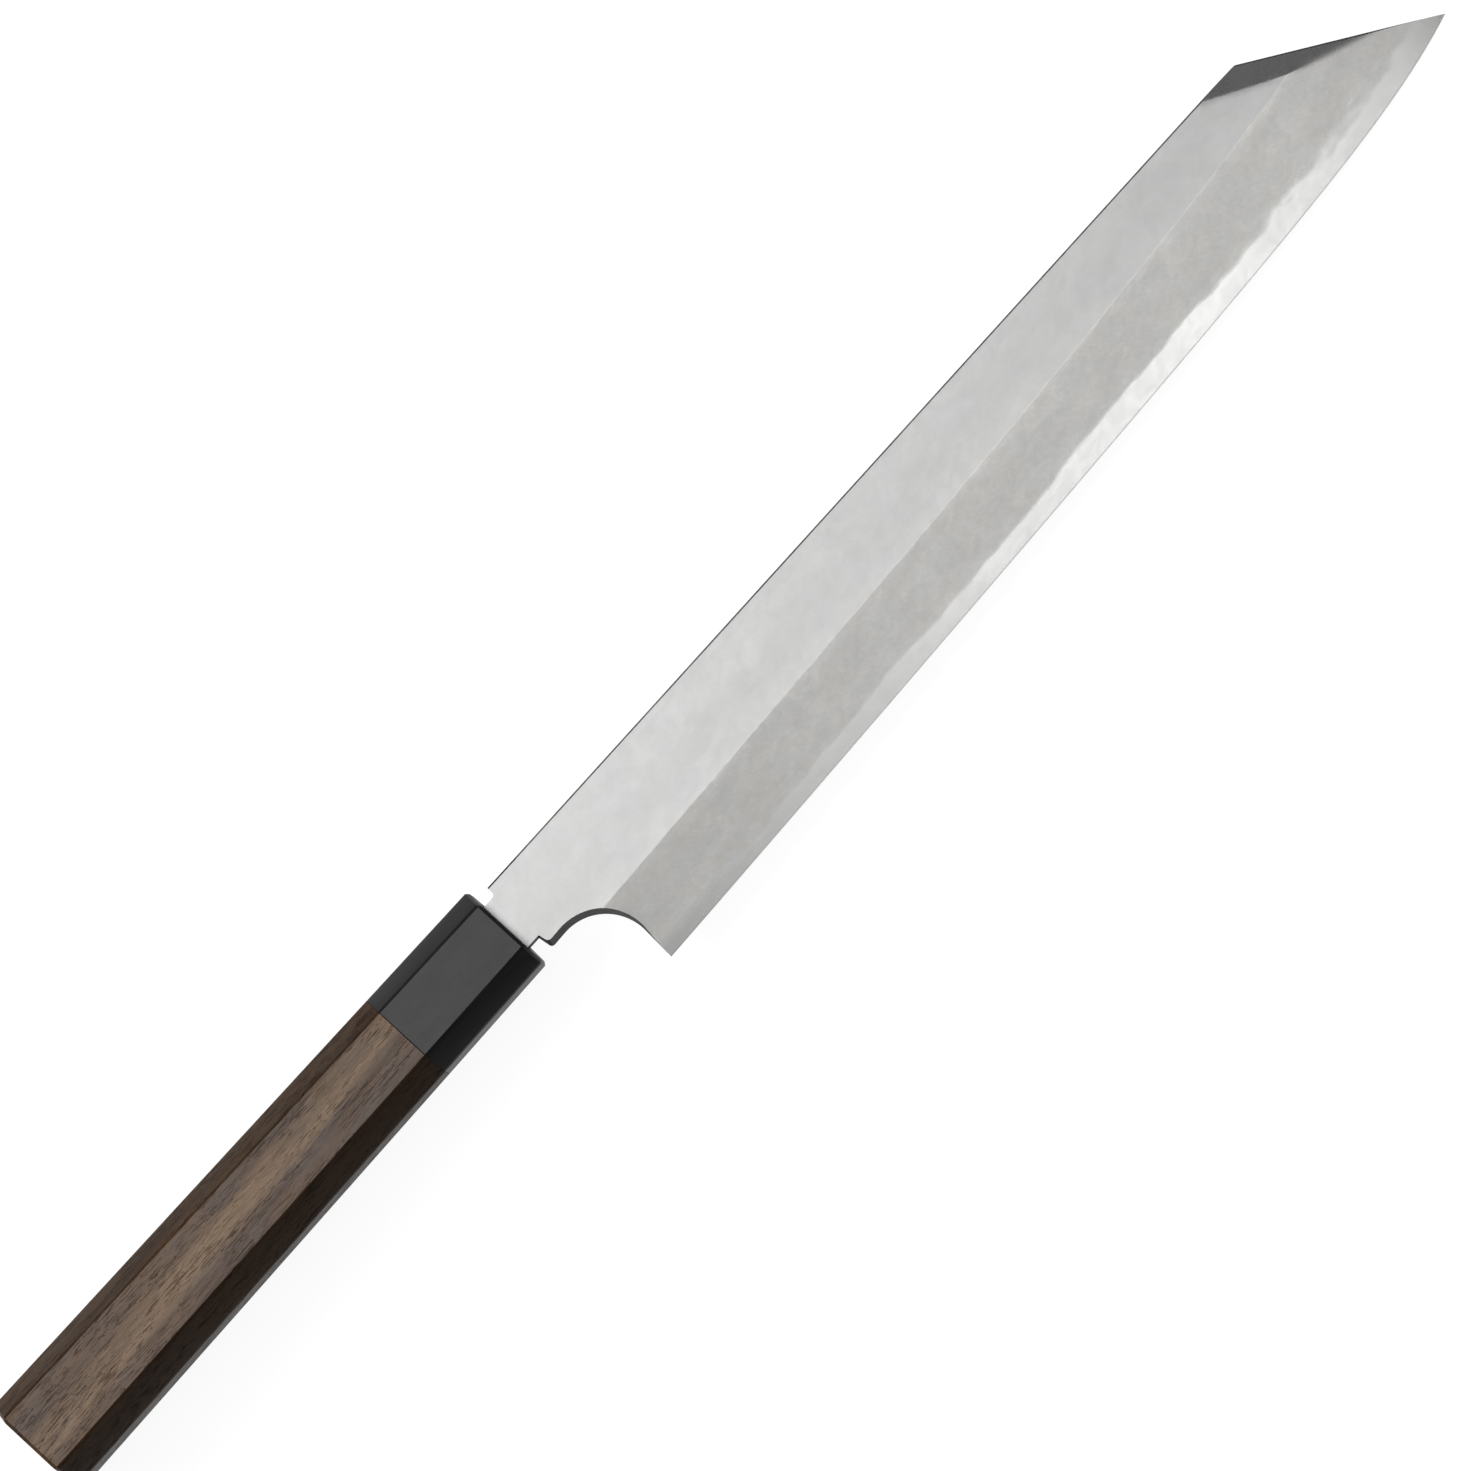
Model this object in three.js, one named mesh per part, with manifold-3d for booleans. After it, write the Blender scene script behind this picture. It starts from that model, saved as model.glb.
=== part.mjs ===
// Kiritsuke: a single-bevel Japanese kitchen knife with a clipped point and an octagonal handle.
// Millimetres. The knife lies on its back: +X to the point, +Y to the spine, +Z out of the bevelled face.
// While it is built, x = 0 is the mouth of the ferrule and the X axis is the axis of the handle.

import * as THREE from "three";
import { mergeVertices } from "three/addons/utils/BufferGeometryUtils.js";
import Module from "manifold-3d";

const wasm = await Module();
wasm.setup();

// Side outline of the blade
const bladeLength = 270; // shoulder to point
const shoulderGap = 3.4; // bare tang between ferrule and shoulder
const spineHeight = 8.5; // handle axis to spine at the shoulder
const spineDrop = 0.3; // fall of the spine from shoulder to clip
const heelDepth = 29.6; // handle axis to cutting edge at the heel
const heelSetback = 15.2; // shoulder to heel
const edgeRise = 5.1; // even rise of the edge from heel to point
const bellyRise = 2.1; // gentle curve of the whole edge
const sweepRise = 4.9; // quick curve close to the point
const sweepPower = 12;
const clipRun = 37.2; // length of the clipped point along the blade

// Cross-section of the blade
const shoulderThickness = 3.7;
const clipThickness = 2.4; // where the clip meets the spine
const flatTilt = 1.15; // degrees, the flat face thins from the spine down to the ridge
const spineEase = 0.4; // worn arris along both edges of the spine
const ridgeDepth = 12.3; // handle axis to the ridge of the bevel at the heel
const ridgeRise = 7; // even rise of the ridge from heel to point
const ridgeSweep = 7.6; // extra rise that turns the ridge towards the clip
const ridgePower = 4;
const clipLand = 1.18; // wall along the clip, up to its facet
const clipEase = 0.45; // worn corner between that wall and the facet
const clipEaseDepth = 0.72;
const facetAngle = 11.5; // degrees, facet ground along the clip on the bevelled face

// Hard steel on the back, and the weld that shows as a wavy line on the bevel
const steelThickness = 0.68;
const steelSetback = 8.6; // shoulder to the rear end of the steel
const weldWave = 0.05;
const weldWaveLengths = [73, 31, 19];
const hollowWheelRadius = 400; // wheel that ground the hollow of the back
const hollowSpineRim = 4.5; // flat left along the spine and the clip
const hollowEdgeRim = 1.8; // flat left along the edge
const hollowHeelRim = 5; // flat left ahead of the heel
const hollowEndLength = 20; // rounded rear end of the hollow

// Finger notch ahead of the ferrule, and the lower shoulder behind it
const notchRadius = 12.7;
const neckDepth = 8.5; // handle axis to the underside of the neck
const heelLean = 1.7; // how far the notch undercuts the heel
const notchBevel = 1.25; // slant of its wall from front to back, at the heel
const neckBevel = 1.05; // the same slant under the neck
const shoulderBevel = 0.55; // the same slant on the lower shoulder
const shoulderRake = 0.45; // the lower shoulder slopes forward
const shoulderLip = 0.1; // and hangs below the neck

// Tang
const tangLength = 92; // ferrule mouth to tang end
const tangHeight = 12.5; // at the ferrule mouth
const tangEndHeight = 6.5;
const tangEndThickness = 2.4;
const shoulderFillet = 1; // inner corner under the spine

// Handle
const ferruleLength = 30.8;
const ferruleFront = 7; // solid front that only the tang slot goes through
const ferruleWall = 1.45; // thinnest wall, on the wide flats
const gripLength = 115.6;
const ovality = 2.65; // half-height over half-thickness
const buttFlareThickness = 2.8; // growth of the half-thickness from mouth to butt
const buttFlareHeight = 1.37; // growth of the half-height from mouth to butt
const mouthChamfer = 4.4; // corner facets of the octagon, across the wide flats
const buttChamfer = 4.5;
const mouthChamferDepth = 4.8; // the same facets, down the narrow flats
const buttChamferDepth = 7;
const arrisEase = 0.35; // eased arrises between the facets
const frontEase = 0.6;
const buttEase = 0.8;
const sealWall = 0.5;
const sealRecess = 0.4; // the seal lies back from the ferrule mouth
const dowelTail = 14; // solid end of the dowel behind the tang

// Clearances
const tangClearance = 0.3; // round the tang
const glueGap = 0.2; // film of glue round seal and dowel

// Fineness of the meshes and overlap of cutting bodies
const bladePitch = 3;
const handlePitch = 15;
const hollowSteps = 8;
const notchLevels = 8;
const arcSteps = 20;
const roundSides = 32;
const overcut = 30;
const buried = 1;
const weldTolerance = 1e-4;

// Places worked out from the dimensions
const shoulderX = shoulderGap;
const heelX = shoulderX + heelSetback;
const tipX = shoulderX + bladeLength;
const clipX = tipX - clipRun;
const steelX = shoulderX + steelSetback;
const backZ = -shoulderThickness / 2;
const jointX = -ferruleLength;
const buttX = jointX - gripLength;
const tangEndX = -tangLength;

// The tang's corners set the bore, the bore sets the dowel, and bore and wall set the handle
const boreRadius = Math.hypot(tangHeight, shoulderThickness) / 2 + tangClearance;
const dowelRadius = boreRadius - glueGap;
const mouthHalfThickness = boreRadius + ferruleWall;
const mouthHalfHeight = mouthHalfThickness + ovality;
const slotMargin = 2 * (tangClearance + sealWall + glueGap);
const slotHeight = tangHeight + slotMargin;
const slotThickness = shoulderThickness + slotMargin;
const dowelFrontX = -ferruleFront - glueGap;
const dowelEndX = tangEndX - tangClearance - dowelTail;

const along = (x) => (x - heelX) / (tipX - heelX);
const lerp = THREE.MathUtils.lerp;
const mapLinear = THREE.MathUtils.mapLinear;

// Height of the spine, of the edge, of the ridge and of the clip line at a place along the blade
const spineY = (x) => mapLinear(x, shoulderX, clipX, spineHeight, spineHeight - spineDrop);

function edgeY(x) {
  const s = Math.max(along(x), 0);
  return -heelDepth + edgeRise * along(x) + bellyRise * s ** 2 + sweepRise * s ** sweepPower;
}

function ridgeY(x) {
  const s = along(x);
  return -ridgeDepth + ridgeRise * s + ridgeSweep * Math.max(s, 0) ** ridgePower;
}

const tipY = edgeY(tipX);
const clipY = (x) => mapLinear(x, clipX, tipX, spineY(clipX), tipY);

// The flat face is one plane that tapers to the point and to the ridge; the back stays level
const flatSlope = Math.tan(THREE.MathUtils.degToRad(flatTilt));

function frontZ(x, y) {
  const thickness = mapLinear(x, shoulderX, clipX, shoulderThickness, clipThickness);
  return backZ + thickness - flatSlope * (spineHeight - y);
}

const ridgeZ = (x) => frontZ(x, ridgeY(x));

function weldZ(x) {
  const ripple = weldWaveLengths.map((length, n) => Math.sin((2 * Math.PI * x) / length + n) / (n + 1));
  return backZ + steelThickness + weldWave * ripple.reduce((sum, wave) => sum + wave, 0);
}

// Place on the bevel, between ridge and edge, where it cuts the weld
function weldY(x) {
  return mapLinear(weldZ(x), backZ, ridgeZ(x), edgeY(x), ridgeY(x));
}

// Skins a stack of outlines into one closed solid. Outlines run counter-clockwise, and the first
// point of both end outlines sees all the others, so a fan from it closes them.
function loft(sections) {
  const count = sections[0].outline.length;
  const positions = [];
  const indices = [];
  for (const { at, outline } of sections) {
    for (const [x, y] of outline) positions.push(x, y, at);
  }
  for (let s = 0; s + 1 < sections.length; s += 1) {
    for (let p = 0; p < count; p += 1) {
      const a = s * count + p;
      const b = s * count + ((p + 1) % count);
      indices.push(a, b, b + count, a, b + count, a + count);
    }
  }
  const top = (sections.length - 1) * count;
  for (let p = 1; p + 1 < count; p += 1) {
    indices.push(0, p + 1, p);
    indices.push(top, top + p, top + p + 1);
  }
  const geometry = new THREE.BufferGeometry();
  geometry.setAttribute("position", new THREE.Float32BufferAttribute(positions, 3));
  geometry.setIndex(indices);
  return geometry;
}

// Turns a solid drawn in (y, z) and stacked upwards so that it is stacked along the knife
const lengthwise = new THREE.Matrix4().makeBasis(
  new THREE.Vector3(0, 1, 0),
  new THREE.Vector3(0, 0, 1),
  new THREE.Vector3(1, 0, 0),
);

const loftAlong = (sections) => loft(sections).applyMatrix4(lengthwise);

function extrudeAlong(shape, fromX, toX) {
  const geometry = new THREE.ExtrudeGeometry(shape, {
    depth: toX - fromX,
    bevelEnabled: false,
    curveSegments: arcSteps,
  });
  return geometry.translate(0, 0, fromX).applyMatrix4(lengthwise);
}

function roundBar(radius, fromX, toX) {
  const bar = new THREE.CylinderGeometry(radius, radius, toX - fromX, roundSides);
  return bar.rotateZ(-Math.PI / 2).translate((fromX + toX) / 2, 0, 0);
}

function block(fromX, toX, height, thickness) {
  const box = new THREE.BoxGeometry(toX - fromX, height, thickness);
  return box.translate((fromX + toX) / 2, 0, 0);
}

function solid(geometry) {
  const bare = geometry.clone();
  bare.deleteAttribute("normal");
  bare.deleteAttribute("uv");
  const merged = mergeVertices(bare, weldTolerance);
  return new wasm.Manifold(
    new wasm.Mesh({
      numProp: 3,
      vertProperties: new Float32Array(merged.attributes.position.array),
      triVerts: new Uint32Array(merged.index.array),
    }),
  );
}

function piece(name, body, look) {
  const { vertProperties, triVerts } = body.getMesh();
  const geometry = new THREE.BufferGeometry();
  geometry.setAttribute("position", new THREE.BufferAttribute(vertProperties, 3));
  geometry.setIndex(new THREE.BufferAttribute(triVerts, 1));
  geometry.computeVertexNormals();
  const mesh = new THREE.Mesh(geometry, new THREE.MeshStandardMaterial(look));
  mesh.name = name;
  return mesh;
}

// Places along the knife at which a cross-section is drawn
function stations(fromX, toX, pitch) {
  const steps = Math.ceil((toX - fromX) / pitch);
  return Array.from({ length: steps + 1 }, (_, n) => lerp(fromX, toX, n / steps));
}

// Everything below the neck and the lower shoulder. Its wall slants from the front face to the back.
function notchCutter() {
  const wallX = heelX + heelLean;
  const centreX = wallX - notchRadius;
  const centreY = -neckDepth - notchRadius;
  const bottomY = -heelDepth - overcut;
  const outlineAt = (z) => {
    const slant = mapLinear(z, backZ, -backZ, 1, 0);
    const reach = notchRadius - notchBevel * slant;
    const rise = notchRadius - neckBevel * slant;
    const shoulder = shoulderX - shoulderBevel * slant;
    const arc = Array.from({ length: arcSteps + 1 }, (_, n) => {
      const angle = (Math.PI / 2) * (n / arcSteps);
      return [centreX + reach * Math.cos(angle), centreY + rise * Math.sin(angle)];
    });
    return [
      [-overcut, bottomY],
      [heelX, bottomY],
      [heelX, -heelDepth],
      ...arc,
      [shoulder + shoulderRake, centreY + rise - shoulderLip],
      [shoulder, -tangHeight / 2],
      [-overcut, -tangHeight / 2],
    ];
  };
  const sections = Array.from({ length: notchLevels + 1 }, (_, n) => {
    const z = lerp(2 * backZ, -2 * backZ, n / notchLevels);
    return { at: z, outline: outlineAt(z) };
  });
  return solid(loft(sections));
}

// Everything beyond the clip line, and the wedge above the facet that runs along it
function clipCutter() {
  const cornerY = spineY(clipX);
  const inward = new THREE.Vector3(tipY - cornerY, clipX - tipX, 0).normalize();
  const upward = new THREE.Vector3(0, 0, 1);
  const towardsSpine = new THREE.Vector3().crossVectors(inward, upward);
  const slope = Math.tan(THREE.MathUtils.degToRad(facetAngle));
  const profile = new THREE.Shape([
    new THREE.Vector2(-2 * overcut, -overcut),
    new THREE.Vector2(0, -overcut),
    new THREE.Vector2(0, backZ + clipLand - clipEaseDepth),
    new THREE.Vector2(clipEase, backZ + clipLand + clipEase * slope),
    new THREE.Vector2(overcut, backZ + clipLand + overcut * slope),
    new THREE.Vector2(overcut, overcut),
    new THREE.Vector2(-2 * overcut, overcut),
  ]);
  const run = Math.hypot(clipRun, cornerY - tipY) + 2 * overcut;
  const geometry = new THREE.ExtrudeGeometry(profile, { depth: run, bevelEnabled: false });
  geometry.translate(0, 0, -overcut);
  geometry.applyMatrix4(new THREE.Matrix4().makeBasis(inward, upward, towardsSpine));
  return solid(geometry.translate(tipX, tipY, 0));
}

// Soft iron above the weld, from behind the steel's rear end to beyond the point
function claddingSection(x) {
  const topY = spineY(x);
  return {
    at: x,
    outline: [
      [weldY(x), weldZ(x)],
      [topY, weldZ(x)],
      [topY, frontZ(x, topY) - spineEase],
      [topY - spineEase, frontZ(x, topY - spineEase)],
      [ridgeY(x), ridgeZ(x)],
    ],
  };
}

// Neck and tang: a side outline thinned towards the end of the tang. The notch shapes the neck from below.
function neckAndTang() {
  const mouth = tangHeight / 2;
  const end = tangEndHeight / 2;
  const outline = new THREE.Shape();
  outline.moveTo(tangEndX + end, -end);
  outline.lineTo(0, -mouth);
  outline.lineTo(0, -heelDepth);
  outline.lineTo(steelX, -heelDepth);
  outline.lineTo(steelX, spineHeight);
  outline.lineTo(shoulderX, spineHeight);
  outline.lineTo(shoulderX, mouth + shoulderFillet);
  outline.quadraticCurveTo(shoulderX, mouth, shoulderX - shoulderFillet, mouth);
  outline.lineTo(0, mouth);
  outline.lineTo(tangEndX + end, end);
  outline.absarc(tangEndX + end, 0, end, Math.PI / 2, (3 * Math.PI) / 2, false);
  const plate = new THREE.ExtrudeGeometry(outline, {
    depth: 2 * overcut,
    bevelEnabled: false,
    curveSegments: arcSteps / 2,
  });
  plate.translate(0, 0, -overcut);
  const slab = (x, topY, lowZ, highZ) => ({
    at: x,
    outline: [
      [-heelDepth, lowZ],
      [topY - spineEase, lowZ],
      [topY, lowZ + spineEase],
      [topY, highZ(topY) - spineEase],
      [topY - spineEase, highZ(topY - spineEase)],
      [-heelDepth, highZ(-heelDepth)],
    ],
  });
  const neckSlab = (x) => slab(x, spineY(x), backZ, (y) => frontZ(x, y));
  const tangSlab = slab(tangEndX - buried, spineHeight, -tangEndThickness / 2, () => tangEndThickness / 2);
  const taper = loftAlong([tangSlab, neckSlab(shoulderX), neckSlab(steelX + buried)]);
  return solid(plate).intersect(solid(taper));
}

// Hard steel below the weld, with the long hollow of the back between flat rims
function steelSection(x) {
  const topY = spineY(x);
  const lowY = edgeY(x) + hollowEdgeRim;
  const highY = Math.max(Math.min(topY, clipY(x)) - hollowSpineRim, lowY);
  const rear = THREE.MathUtils.clamp((x - heelX - hollowHeelRim) / hollowEndLength, 0, 1);
  const width = (highY - lowY) * Math.sqrt(1 - (1 - rear) ** 2);
  const span = Math.max(width, hollowEdgeRim);
  const middleY = (lowY + highY) / 2;
  const hollow = Array.from({ length: hollowSteps + 1 }, (_, n) => {
    const offset = (n / hollowSteps - 0.5) * span;
    const depth = Math.max((width / 2) ** 2 - offset ** 2, 0) / (2 * hollowWheelRadius);
    return [middleY + offset, backZ + depth];
  });
  return {
    at: x,
    outline: [
      [weldY(x), weldZ(x)],
      [edgeY(x), backZ],
      ...hollow,
      [topY - spineEase, backZ],
      [topY, backZ + spineEase],
      [topY, weldZ(x)],
    ],
  };
}

// Octagonal section of the handle, with eased arrises; inset shrinks it for the eased ends
function octagon(x, inset = 0) {
  const share = mapLinear(x, 0, buttX, 0, 1);
  const halfHeight = mouthHalfHeight + share * buttFlareHeight - inset;
  const halfThickness = mouthHalfThickness + share * buttFlareThickness - inset;
  const chamfer = lerp(mouthChamfer, buttChamfer, share);
  const depth = lerp(mouthChamferDepth, buttChamferDepth, share);
  const corners = [
    [halfHeight, -halfThickness + depth],
    [halfHeight, halfThickness - depth],
    [halfHeight - chamfer, halfThickness],
    [-halfHeight + chamfer, halfThickness],
    [-halfHeight, halfThickness - depth],
    [-halfHeight, -halfThickness + depth],
    [-halfHeight + chamfer, -halfThickness],
    [halfHeight - chamfer, -halfThickness],
  ].map(([y, z]) => new THREE.Vector2(y, z));
  const eased = corners.flatMap((corner, n) => {
    const before = corners.at(n - 1).clone().sub(corner).setLength(arrisEase).add(corner);
    const after = corners[(n + 1) % corners.length].clone().sub(corner).setLength(arrisEase).add(corner);
    return [before.toArray(), after.toArray()];
  });
  return { at: x, outline: eased };
}

function bladeBody() {
  const places = [steelX - buried, ...stations(steelX, tipX + buried, bladePitch)];
  const cladding = solid(loftAlong(places.map(claddingSection)));
  return neckAndTang().add(cladding).subtract(notchCutter()).subtract(clipCutter());
}

function edgeSteel() {
  const layer = solid(loftAlong(stations(steelX, tipX + buried, bladePitch).map(steelSection)));
  return layer.subtract(notchCutter()).subtract(clipCutter());
}

function ferrule() {
  const sides = stations(jointX, -frontEase, handlePitch).map((x) => octagon(x));
  const outside = solid(loftAlong([...sides, octagon(0, frontEase)]));
  const slot = solid(block(-ferruleFront - buried, buried, slotHeight, slotThickness));
  const bore = solid(roundBar(boreRadius, jointX - buried, -ferruleFront));
  return outside.subtract(slot).subtract(bore);
}

function handleGrip() {
  const sides = stations(buttX + buttEase, jointX, handlePitch).map((x) => octagon(x));
  const outside = solid(loftAlong([octagon(buttX, buttEase), ...sides]));
  const bore = solid(roundBar(boreRadius, dowelEndX - glueGap, jointX + buried));
  return outside.subtract(bore);
}

function handleDowel() {
  const bar = solid(roundBar(dowelRadius, dowelEndX, dowelFrontX));
  const sawCut = block(
    tangEndX - tangClearance,
    dowelFrontX + buried,
    2 * boreRadius,
    shoulderThickness + 2 * tangClearance,
  );
  return bar.subtract(solid(sawCut));
}

// Rectangle in (y, z) round the axis, as an outline or as a hole
function rectangle(Kind, height, thickness) {
  return new Kind([
    new THREE.Vector2(-height / 2, -thickness / 2),
    new THREE.Vector2(height / 2, -thickness / 2),
    new THREE.Vector2(height / 2, thickness / 2),
    new THREE.Vector2(-height / 2, thickness / 2),
  ]);
}

function tangSeal() {
  const collar = rectangle(THREE.Shape, slotHeight - 2 * glueGap, slotThickness - 2 * glueGap);
  const hole = rectangle(THREE.Path, tangHeight + 2 * tangClearance, shoulderThickness + 2 * tangClearance);
  collar.holes.push(hole);
  return solid(extrudeAlong(collar, -ferruleFront, -sealRecess));
}

const iron = { color: 0xbebebc, roughness: 0.42, metalness: 1 };
const steel = { color: 0xdededb, roughness: 0.28, metalness: 1 };
const horn = { color: 0x232222, roughness: 0.4, metalness: 0 };
const darkWood = { color: 0x5c4d44, roughness: 0.55, metalness: 0 };
const paleWood = { color: 0xcbb48a, roughness: 0.7, metalness: 0 };
const resin = { color: 0x1d1a18, roughness: 0.5, metalness: 0 };

const knife = new THREE.Group();
knife.add(
  piece("blade_body", bladeBody(), iron),
  piece("edge_steel", edgeSteel(), steel),
  piece("ferrule", ferrule(), horn),
  piece("handle_grip", handleGrip(), darkWood),
  piece("handle_dowel", handleDowel(), paleWood),
  piece("tang_seal", tangSeal(), resin),
);

// The origin lies on the surface that the knife is laid on, below the middle of its box
const box = new THREE.Box3().setFromObject(knife);
const middle = box.getCenter(new THREE.Vector3());
knife.position.set(-middle.x, -middle.y, -box.min.z);

export default knife;
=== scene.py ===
import math

import bpy
import numpy as np
from mathutils import Matrix, Vector


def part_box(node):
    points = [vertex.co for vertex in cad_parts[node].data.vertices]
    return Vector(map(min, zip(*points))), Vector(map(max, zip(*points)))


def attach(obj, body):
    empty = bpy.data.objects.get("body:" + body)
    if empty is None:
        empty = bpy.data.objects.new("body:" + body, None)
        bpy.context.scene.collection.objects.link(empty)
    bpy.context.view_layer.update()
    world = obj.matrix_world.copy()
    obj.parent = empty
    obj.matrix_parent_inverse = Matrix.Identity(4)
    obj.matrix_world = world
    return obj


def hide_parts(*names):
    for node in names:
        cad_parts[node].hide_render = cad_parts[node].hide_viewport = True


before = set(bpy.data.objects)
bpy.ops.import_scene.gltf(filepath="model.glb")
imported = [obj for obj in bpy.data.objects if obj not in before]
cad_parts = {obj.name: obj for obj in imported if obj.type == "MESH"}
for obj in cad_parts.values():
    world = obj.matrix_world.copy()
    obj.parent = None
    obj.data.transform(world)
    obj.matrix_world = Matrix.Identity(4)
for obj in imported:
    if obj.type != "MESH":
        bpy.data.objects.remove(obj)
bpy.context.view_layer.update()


# places on the knife that several pieces use

gripLow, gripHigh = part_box("handle_grip")
handleAxis = ((gripLow.y + gripHigh.y) / 2, (gripLow.z + gripHigh.z) / 2)
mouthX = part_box("ferrule")[1].x


# mesh helpers

mergeGap = 1e-6               # metres; the corners of a solid's loose triangles are closer than this


def pickOnly(piece):
    bpy.ops.object.select_all(action="DESELECT")
    piece.select_set(True)
    bpy.context.view_layer.objects.active = piece


def pickAll(piece):
    # goes to edit mode with the whole piece picked
    pickOnly(piece)
    bpy.ops.object.mode_set(mode="EDIT")
    bpy.ops.mesh.select_all(action="SELECT")


def pickParts(piece, kind, wanted):
    # goes to edit mode with only the vertices, edges or polygons that wanted() picks
    pickOnly(piece)
    kinds = "vertices", "edges", "polygons"
    bpy.context.tool_settings.mesh_select_mode = [kind == name for name in kinds]
    bpy.ops.object.mode_set(mode="EDIT")
    bpy.ops.mesh.select_all(action="DESELECT")
    bpy.ops.object.mode_set(mode="OBJECT")
    for part in getattr(piece.data, kind):
        part.select = wanted(part)
    bpy.ops.object.mode_set(mode="EDIT")


def copyNode(nodeName, pieceName):
    # a copy of a solid with its loose triangles merged
    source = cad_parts[nodeName]
    piece = source.copy()
    piece.data = source.data.copy()
    piece.name = piece.data.name = pieceName
    for key in list(piece.keys()):
        del piece[key]
    piece.parent = None
    bpy.context.scene.collection.objects.link(piece)
    pickAll(piece)
    bpy.ops.mesh.remove_doubles(threshold=mergeGap)
    bpy.ops.object.mode_set(mode="OBJECT")
    bpy.ops.mesh.customdata_custom_splitnormals_clear()
    return piece


def wholeFaces(piece, degrees):
    # joins the triangles of each flat face
    pickAll(piece)
    bpy.ops.mesh.dissolve_limited(angle_limit=math.radians(degrees))
    bpy.ops.object.mode_set(mode="OBJECT")


def roundEdges(piece, wanted, width, segments, clamp=True):
    # bevels the edges that wanted(ends, turn, kinds) picks; kinds are the finishes on both sides
    mesh = piece.data
    sides = {}
    for face in mesh.polygons:
        for key in face.edge_keys:
            sides.setdefault(key, []).append((face.normal.copy(), face.material_index))

    def isWanted(edge):
        pair = sides[tuple(sorted(edge.vertices))]
        if len(pair) != 2:
            return False
        turn = math.degrees(pair[0][0].angle(pair[1][0], 0.0))
        ends = [mesh.vertices[i].co for i in edge.vertices]
        return wanted(ends, turn, {kind for normal, kind in pair})

    pickParts(piece, "edges", isWanted)
    bpy.ops.mesh.bevel(offset=width, segments=segments, affect="EDGES", clamp_overlap=clamp)
    bpy.ops.object.mode_set(mode="OBJECT")


def flatShade(piece, sharpTurn):
    # smooth shading that leaves the broad faces flat and rolls only the eased edges
    pickOnly(piece)
    bpy.ops.object.shade_smooth_by_angle(angle=math.radians(sharpTurn))
    weighted = piece.modifiers.new("weighted", "WEIGHTED_NORMAL")
    weighted.keep_sharp = True
    bpy.ops.object.modifier_apply(modifier="weighted")


def giveFinishes(piece, finishes, kindOf):
    # one slot per finish; kindOf(face) is the number of a face's slot
    piece.data.materials.clear()
    for finish in finishes:
        piece.data.materials.append(finish)
    for face in piece.data.polygons:
        face.material_index = kindOf(face)


def standFor(piece, nodeName):
    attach(piece, "root")
    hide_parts(nodeName)


# material helpers

noiseSpan = (0.3, 0.7)        # nearly all of a noise pattern lies between these


def feed(tree, socket, value):
    # links a node's output to the socket, or sets the socket's own value
    if isinstance(value, bpy.types.NodeSocket):
        tree.links.new(value, socket)
    else:
        socket.default_value = value


def fedBy(shader, name):
    return shader.inputs[name].links[0].from_socket


def addNode(tree, nodeType, sockets=None, **settings):
    made = tree.nodes.new(nodeType)
    for name, value in settings.items():
        setattr(made, name, value)
    for name, value in (sockets or {}).items():
        feed(tree, made.inputs[name], value)
    return made


def emptyFinish(name):
    finish = bpy.data.materials.new(name)
    finish.use_nodes = True
    finish.node_tree.nodes.clear()
    return finish, finish.node_tree


def newFinish(name, sockets):
    # a material with just its shader, ready for the pattern nodes
    finish, tree = emptyFinish(name)
    shader = addNode(tree, "ShaderNodeBsdfPrincipled", sockets)
    addNode(tree, "ShaderNodeOutputMaterial", {"Surface": shader.outputs["BSDF"]})
    return finish, tree, shader


def spaced(tree, size, turn=0.0):
    # object coordinates measured in spots of this size in metres, turned about Z by degrees
    coords = tree.nodes.new("ShaderNodeTexCoord")
    sockets = {"Vector": coords.outputs["Object"], "Rotation": (0, 0, math.radians(turn)), "Scale": size}
    return addNode(tree, "ShaderNodeMapping", sockets, vector_type="TEXTURE").outputs["Vector"]


def axisOf(tree, axis, turn=0.0):
    # one object coordinate in metres
    sockets = {"Vector": spaced(tree, (1, 1, 1), turn)}
    return addNode(tree, "ShaderNodeSeparateXYZ", sockets).outputs[axis]


def noise(tree, size, turn=0.0, detail=2, rough=0.5, twist=0.0):
    vector = spaced(tree, size, turn)
    sockets = {"Vector": vector, "Scale": 1.0, "Detail": detail, "Roughness": rough, "Distortion": twist}
    return addNode(tree, "ShaderNodeTexNoise", sockets).outputs[0]


def between(tree, value, low, high, toLow=0.0, toHigh=1.0, shape="LINEAR"):
    sockets = {"Value": value, "From Min": low, "From Max": high, "To Min": toLow, "To Max": toHigh}
    return addNode(tree, "ShaderNodeMapRange", sockets, interpolation_type=shape).outputs["Result"]


def swing(tree, pattern, low, high):
    # a noise pattern stretched from low to high
    return between(tree, pattern, *noiseSpan, low, high)


def sums(tree, operation, first, second=0.0):
    return addNode(tree, "ShaderNodeMath", {0: first, 1: second}, operation=operation).outputs[0]


def mixed(tree, factor, first, second, blend="MIX"):
    first, second = ((*tone, 1.0) if isinstance(tone, tuple) else tone for tone in (first, second))
    sockets = {0: factor, 6: first, 7: second}    # where the node keeps its factor and its two colours
    return addNode(tree, "ShaderNodeMix", sockets, data_type="RGBA", blend_type=blend).outputs[2]


def shaded(tree, colour, *levels):
    # multiplies a colour by each level in turn
    for level in levels:
        grey = addNode(tree, "ShaderNodeCombineColor", {"Red": level, "Green": level, "Blue": level})
        colour = mixed(tree, 1.0, colour, grey.outputs[0], "MULTIPLY")
    return colour


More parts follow.
